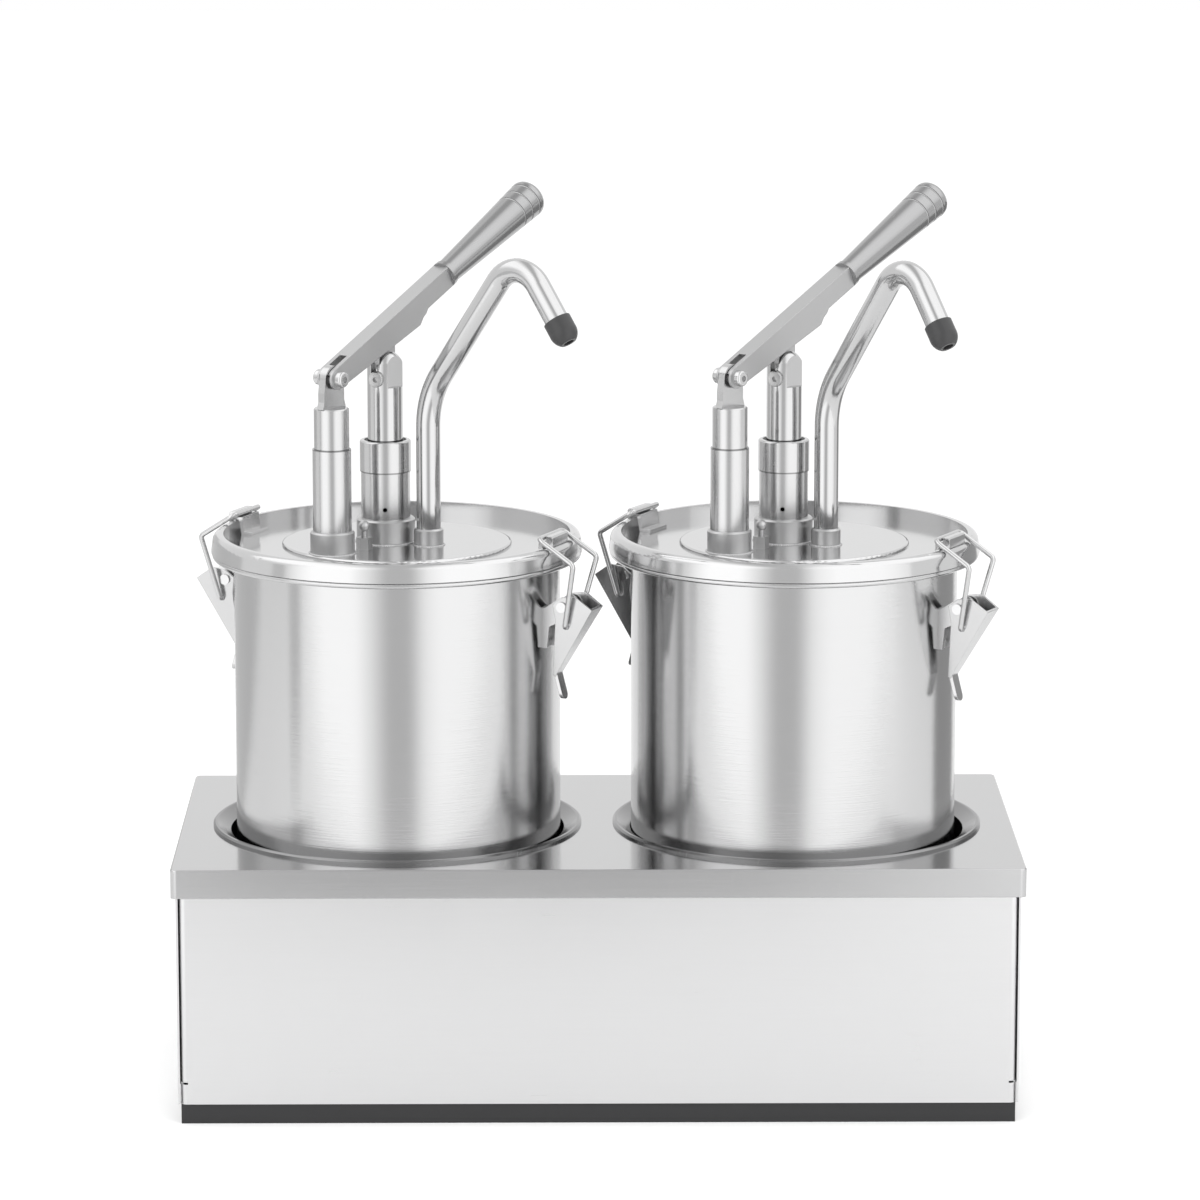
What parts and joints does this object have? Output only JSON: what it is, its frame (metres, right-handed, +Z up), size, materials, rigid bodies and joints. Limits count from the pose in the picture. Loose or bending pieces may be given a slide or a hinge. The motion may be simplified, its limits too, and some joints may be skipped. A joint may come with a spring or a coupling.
{
  "type": "sauce dispenser",
  "caption": "Countertop sauce dispenser: round lidded pots set in a boxed stand, each with a hand-lever piston pump, a swan-neck spout and wire-bail latches.",
  "frame": {"origin": "middle of the stand's base, at the level of the plinth's underside", "axes": "+Z up, -Y out of the stand's front panel, +X to the right seen from the front"},
  "size_m": [0.415, 0.208, 0.4399],
  "materials": {
    "cover_steel": "satin stainless steel sheet",
    "ring_steel": "polished stainless steel",
    "panel_steel": "satin stainless steel sheet",
    "tray_steel": "mill finish stainless steel sheet",
    "plinth_black": "matte black",
    "screw_steel": "bright stainless steel",
    "pot_steel": "finely brushed stainless steel",
    "gasket_silicone": "translucent white silicone",
    "lid_steel": "polished stainless steel",
    "fitting_steel": "turned and polished stainless steel",
    "latch_steel": "pressed and polished stainless steel",
    "bracket_steel": "pressed stainless steel",
    "pin_steel": "polished stainless steel",
    "pump_steel": "turned stainless steel",
    "nut_steel": "turned stainless steel",
    "spring_steel": "spring wire",
    "valve_plastic": "white food-grade plastic",
    "tube_steel": "polished stainless steel tube",
    "post_steel": "turned stainless steel",
    "lever_steel": "bead-blasted and folded stainless steel",
    "grip_steel": "turned and polished stainless steel",
    "rod_steel": "ground stainless steel",
    "nozzle_rubber": "black rubber",
    "wire_steel": "bright stainless steel wire"
  },
  "bodies": {
    "stand": {"top_cover": "cover_steel", "well_ring_left": "ring_steel", "well_ring_right": "ring_steel", "front_panel": "panel_steel", "side_wrap": "panel_steel", "base_tray": "tray_steel", "plinth": "plinth_black", "base_screws": "screw_steel"},
    "pot_left": {"pot_left": "pot_steel", "pot_gasket_left": "gasket_silicone", "lid_left": "lid_steel", "lid_fittings_left": "fitting_steel", "lid_keepers_left": "latch_steel", "latch_brackets_left": "bracket_steel", "latch_pins_left": "pin_steel", "pump_barrel_left": "pump_steel", "gland_nut_left": "nut_steel", "return_spring_left": "spring_steel", "foot_valve_left": "valve_plastic", "delivery_tube_left": "tube_steel", "lever_post_left": "post_steel"},
    "lever_left": {"lever_arm_left": "lever_steel", "lever_pins_left": "pin_steel", "lever_grip_left": "grip_steel"},
    "pump_left": {"piston_rod_left": "rod_steel", "drive_blade_left": "lever_steel", "head_screw_left": "screw_steel", "piston_left": "valve_plastic"},
    "spout_left": {"spout_tube_left": "tube_steel", "nozzle_left": "nozzle_rubber"},
    "latch_front_left": {"latch_lever_front_left": "latch_steel"},
    "latch_back_left": {"latch_lever_back_left": "latch_steel"},
    "bail_front_left": {"latch_bail_front_left": "wire_steel"},
    "bail_back_left": {"latch_bail_back_left": "wire_steel"},
    "pot_right": {"pot_right": "pot_steel", "pot_gasket_right": "gasket_silicone", "lid_right": "lid_steel", "lid_fittings_right": "fitting_steel", "lid_keepers_right": "latch_steel", "latch_brackets_right": "bracket_steel", "latch_pins_right": "pin_steel", "pump_barrel_right": "pump_steel", "gland_nut_right": "nut_steel", "return_spring_right": "spring_steel", "foot_valve_right": "valve_plastic", "delivery_tube_right": "tube_steel", "lever_post_right": "post_steel"},
    "lever_right": {"lever_arm_right": "lever_steel", "lever_pins_right": "pin_steel", "lever_grip_right": "grip_steel"},
    "pump_right": {"piston_rod_right": "rod_steel", "drive_blade_right": "lever_steel", "head_screw_right": "screw_steel", "piston_right": "valve_plastic"},
    "spout_right": {"spout_tube_right": "tube_steel", "nozzle_right": "nozzle_rubber"},
    "latch_front_right": {"latch_lever_front_right": "latch_steel"},
    "latch_back_right": {"latch_lever_back_right": "latch_steel"},
    "bail_front_right": {"latch_bail_front_right": "wire_steel"},
    "bail_back_right": {"latch_bail_back_right": "wire_steel"}
  },
  "joints": [
    {"name": "pot_lift_left", "type": "slide", "parent": "stand", "child": "pot_left", "axis": [0, 0, 1], "range_m": [0, 0.13]},
    {"name": "lever_hinge_left", "type": "hinge", "parent": "pot_left", "child": "lever_left", "pos_m": [-0.12995, -0.03555, 0.358], "axis": [0.7902, -0.6129, 0], "range_deg": [-33.5, 0]},
    {"name": "pump_stroke_left", "type": "slide", "parent": "pot_left", "child": "pump_left", "axis": [0, 0, 1], "range_m": [-0.02452, 0], "stiffness_N_per_m": 400, "springref_m": 0.04, "deforming": ["return_spring_left"]},
    {"name": "spout_swivel_left", "type": "hinge", "parent": "pot_left", "child": "spout_left", "pos_m": [-0.0832, -0.0141, 0.2715], "axis": [0, 0, 1], "range_deg": [-50, 15]},
    {"name": "latch_front_hinge_left", "type": "hinge", "parent": "pot_left", "child": "latch_front_left", "pos_m": [-0.0148, -0.03982, 0.246], "axis": [-0.4067, -0.9135, 0], "range_deg": [0, 50]},
    {"name": "bail_front_hinge_left", "type": "hinge", "parent": "latch_front_left", "child": "bail_front_left", "pos_m": [-0.01279, -0.04072, 0.2362], "axis": [-0.4067, -0.9135, 0], "range_deg": [-39.1, 0]},
    {"name": "latch_back_hinge_left", "type": "hinge", "parent": "pot_left", "child": "latch_back_left", "pos_m": [-0.1838, 0.03542, 0.246], "axis": [0.4067, 0.9135, 0], "range_deg": [0, 80]},
    {"name": "bail_back_hinge_left", "type": "hinge", "parent": "latch_back_left", "child": "bail_back_left", "pos_m": [-0.18581, 0.03632, 0.2362], "axis": [0.4067, 0.9135, 0], "range_deg": [-62.5, 0]},
    {"name": "pot_lift_right", "type": "slide", "parent": "stand", "child": "pot_right", "axis": [0, 0, 1], "range_m": [0, 0.13]},
    {"name": "lever_hinge_right", "type": "hinge", "parent": "pot_right", "child": "lever_right", "pos_m": [0.06483, -0.03305, 0.358], "axis": [0.7396, -0.673, 0], "range_deg": [-33.5, 0]},
    {"name": "pump_stroke_right", "type": "slide", "parent": "pot_right", "child": "pump_right", "axis": [0, 0, 1], "range_m": [-0.02452, 0], "stiffness_N_per_m": 400, "springref_m": 0.04, "deforming": ["return_spring_right"]},
    {"name": "spout_swivel_right", "type": "hinge", "parent": "pot_right", "child": "spout_right", "pos_m": [0.11312, -0.01533, 0.2715], "axis": [0, 0, 1], "range_deg": [-50, 15]},
    {"name": "latch_front_hinge_right", "type": "hinge", "parent": "pot_right", "child": "latch_front_right", "pos_m": [0.17929, -0.04634, 0.246], "axis": [-0.4772, -0.8788, 0], "range_deg": [0, 80]},
    {"name": "bail_front_hinge_right", "type": "hinge", "parent": "latch_front_right", "child": "bail_front_right", "pos_m": [0.18122, -0.04739, 0.2362], "axis": [-0.4772, -0.8788, 0], "range_deg": [-62.5, 0]},
    {"name": "latch_back_hinge_right", "type": "hinge", "parent": "pot_right", "child": "latch_back_right", "pos_m": [0.01671, 0.04194, 0.246], "axis": [0.4772, 0.8788, 0], "range_deg": [0, 80]},
    {"name": "bail_back_hinge_right", "type": "hinge", "parent": "latch_back_right", "child": "bail_back_right", "pos_m": [0.01478, 0.04299, 0.2362], "axis": [0.4772, 0.8788, 0], "range_deg": [-62.5, 0]}
  ],
  "couplings": [
    {"joint": "pump_stroke_left", "follows": "lever_hinge_left", "m_per_rad": 0.041903},
    {"joint": "bail_front_hinge_left", "follows": "latch_front_hinge_left", "ratio": -0.78},
    {"joint": "bail_back_hinge_left", "follows": "latch_back_hinge_left", "ratio": -0.78},
    {"joint": "pump_stroke_right", "follows": "lever_hinge_right", "m_per_rad": 0.041903},
    {"joint": "bail_front_hinge_right", "follows": "latch_front_hinge_right", "ratio": -0.78},
    {"joint": "bail_back_hinge_right", "follows": "latch_back_hinge_right", "ratio": -0.78}
  ]
}
